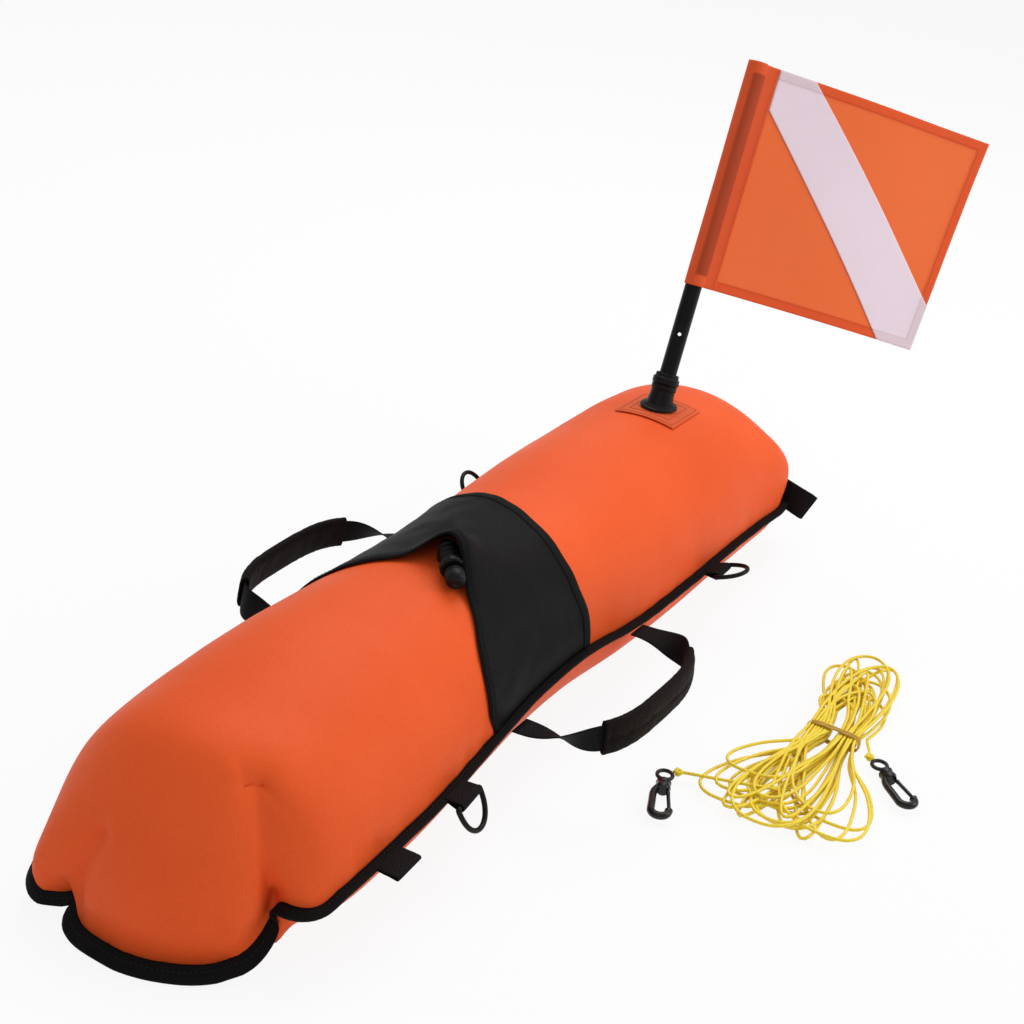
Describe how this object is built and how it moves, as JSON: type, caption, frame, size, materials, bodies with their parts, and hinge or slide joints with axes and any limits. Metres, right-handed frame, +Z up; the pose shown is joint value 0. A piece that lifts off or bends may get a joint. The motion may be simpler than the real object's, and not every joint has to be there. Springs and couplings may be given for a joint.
{
  "type": "dive flag float",
  "caption": "Orange torpedo-shaped dive flag float with a leaning flag on a pole, side handles, webbing tabs with D-rings and a hank of yellow float line with snap hooks.",
  "frame": {"origin": "middle of the flat belly that the float rests on", "axes": "+X towards the nose, which carries the flag; +Z up, away from the belly; +Y the float's left side, the line lying on its right"},
  "size_m": [1.1439, 0.6183, 0.5199],
  "materials": {
    "orange_cloth": "coated woven nylon",
    "black_cloth": "coated woven nylon, slight sheen",
    "webbing": "woven polyester webbing",
    "black_plastic": "moulded, satin",
    "black_rubber": "matt",
    "bladder_film": "welded film",
    "flag_cloth": "plain woven nylon",
    "stripe_cloth": "plain woven nylon",
    "yellow_line": "floating polypropylene line"
  },
  "bodies": {
    "float": {"cover_upper": "orange_cloth", "cover_lower": "orange_cloth", "bladder": "bladder_film", "seam_binding": "webbing", "wrap_panel": "black_cloth", "ring_tab_nose_right": "webbing", "ring_tab_nose_left": "webbing", "ring_tab_tail_right": "webbing", "ring_tab_tail_left": "webbing", "plain_tab_right": "webbing", "plain_tab_left": "webbing", "tow_loop": "webbing", "valve_hose": "black_rubber", "socket_patch": "orange_cloth", "socket_base": "black_plastic"},
    "collar": {"socket_collar": "black_plastic"},
    "pole": {"pole": "black_plastic", "pole_cap": "black_plastic"},
    "flag": {"flag_sleeve": "flag_cloth", "flag_field": "flag_cloth", "flag_stripe_front": "stripe_cloth", "flag_stripe_back": "stripe_cloth"},
    "valve_ring": {"valve_lock_ring": "black_plastic"},
    "valve_tip": {"valve_mouthpiece": "black_rubber"},
    "line": {"line_hank": "yellow_line", "hank_tie": "yellow_line", "line_end_left": "yellow_line", "line_end_right": "yellow_line", "line_knot_left": "yellow_line", "line_knot_right": "yellow_line", "hook_eye_left": "black_plastic", "hook_eye_right": "black_plastic"},
    "ring_nose_right": {"d_ring_nose_right": "black_plastic"},
    "ring_nose_left": {"d_ring_nose_left": "black_plastic"},
    "ring_tail_right": {"d_ring_tail_right": "black_plastic"},
    "ring_tail_left": {"d_ring_tail_left": "black_plastic"},
    "handle_right": {"handle_web_right": "webbing", "handle_grip_right": "black_cloth"},
    "handle_left": {"handle_web_left": "webbing", "handle_grip_left": "black_cloth"},
    "hook_left": {"hook_body_left": "black_plastic"},
    "gate_left": {"hook_gate_left": "black_plastic"},
    "hook_right": {"hook_body_right": "black_plastic"},
    "gate_right": {"hook_gate_right": "black_plastic"}
  },
  "joints": [
    {"name": "collar_turn", "type": "hinge", "parent": "float", "child": "collar", "pos_m": [0.30407, 0, 0.17166], "axis": [0.342, 0, 0.9397], "continuous": true},
    {"name": "pole_lift", "type": "slide", "parent": "float", "child": "pole", "axis": [0.342, 0, 0.9397], "range_m": [0, 0.034]},
    {"name": "flag_turn", "type": "hinge", "parent": "pole", "child": "flag", "pos_m": [0.34921, 0, 0.29569], "axis": [0.342, 0, 0.9397], "continuous": true},
    {"name": "valve_ring_turn", "type": "hinge", "parent": "float", "child": "valve_ring", "pos_m": [-0.13091, -0.01104, 0.18386], "axis": [-0.735, -0.6618, -0.1478], "range_deg": [0, 90]},
    {"name": "valve_press", "type": "slide", "parent": "float", "child": "valve_tip", "axis": [-0.735, -0.6618, -0.1478], "range_m": [-0.004, 0], "stiffness_N_per_m": 300},
    {"name": "line_lift", "type": "slide", "parent": "float", "child": "line", "axis": [0, 0, 1], "range_m": [0, 0.25]},
    {"name": "ring_nose_right_swing", "type": "hinge", "parent": "float", "child": "ring_nose_right", "pos_m": [0.20296, -0.13757, 0.06564], "axis": [-0.9999, 0.0022, 0.0164], "range_deg": [-100, 80]},
    {"name": "ring_nose_left_swing", "type": "hinge", "parent": "float", "child": "ring_nose_left", "pos_m": [0.17777, 0.13739, 0.06707], "axis": [0.9999, 0.0118, -0.0122], "range_deg": [-132, 48]},
    {"name": "ring_tail_right_swing", "type": "hinge", "parent": "float", "child": "ring_tail_right", "pos_m": [-0.27648, -0.13563, 0.06423], "axis": [-0.9966, -0.0775, -0.0272], "range_deg": [-18, 162]},
    {"name": "ring_tail_left_swing", "type": "hinge", "parent": "float", "child": "ring_tail_left", "pos_m": [-0.27456, 0.13413, 0.0716], "axis": [0.9965, -0.0791, 0.0273], "range_deg": [-40, 140]},
    {"name": "handle_right_swing", "type": "hinge", "parent": "float", "child": "handle_right", "pos_m": [-0.06292, -0.12014, 0.06657], "axis": [-0.9997, 0.0215, 0.0133], "range_deg": [-31, 59]},
    {"name": "handle_left_swing", "type": "hinge", "parent": "float", "child": "handle_left", "pos_m": [-0.06292, 0.12014, 0.06657], "axis": [0.9997, 0.0215, -0.0133], "range_deg": [-37, 53]},
    {"name": "hook_left_swivel", "type": "hinge", "parent": "line", "child": "hook_left", "pos_m": [-0.072, -0.2165, 0.0072], "axis": [-0.9336, -0.3584, 0], "continuous": true},
    {"name": "gate_left_swing", "type": "hinge", "parent": "hook_left", "child": "gate_left", "pos_m": [-0.09287, -0.22965, 0.0072], "axis": [0, 0, 1], "range_deg": [-20, 0], "stiffness_Nm_per_rad": 0.02},
    {"name": "hook_right_swivel", "type": "hinge", "parent": "line", "child": "hook_right", "pos_m": [0.066, -0.3655, 0.0072], "axis": [-0.7009, -0.7132, 0], "continuous": true},
    {"name": "gate_right_swing", "type": "hinge", "parent": "hook_right", "child": "gate_right", "pos_m": [0.05246, -0.38613, 0.0072], "axis": [0, 0, 1], "range_deg": [-20, 0], "stiffness_Nm_per_rad": 0.02}
  ]
}
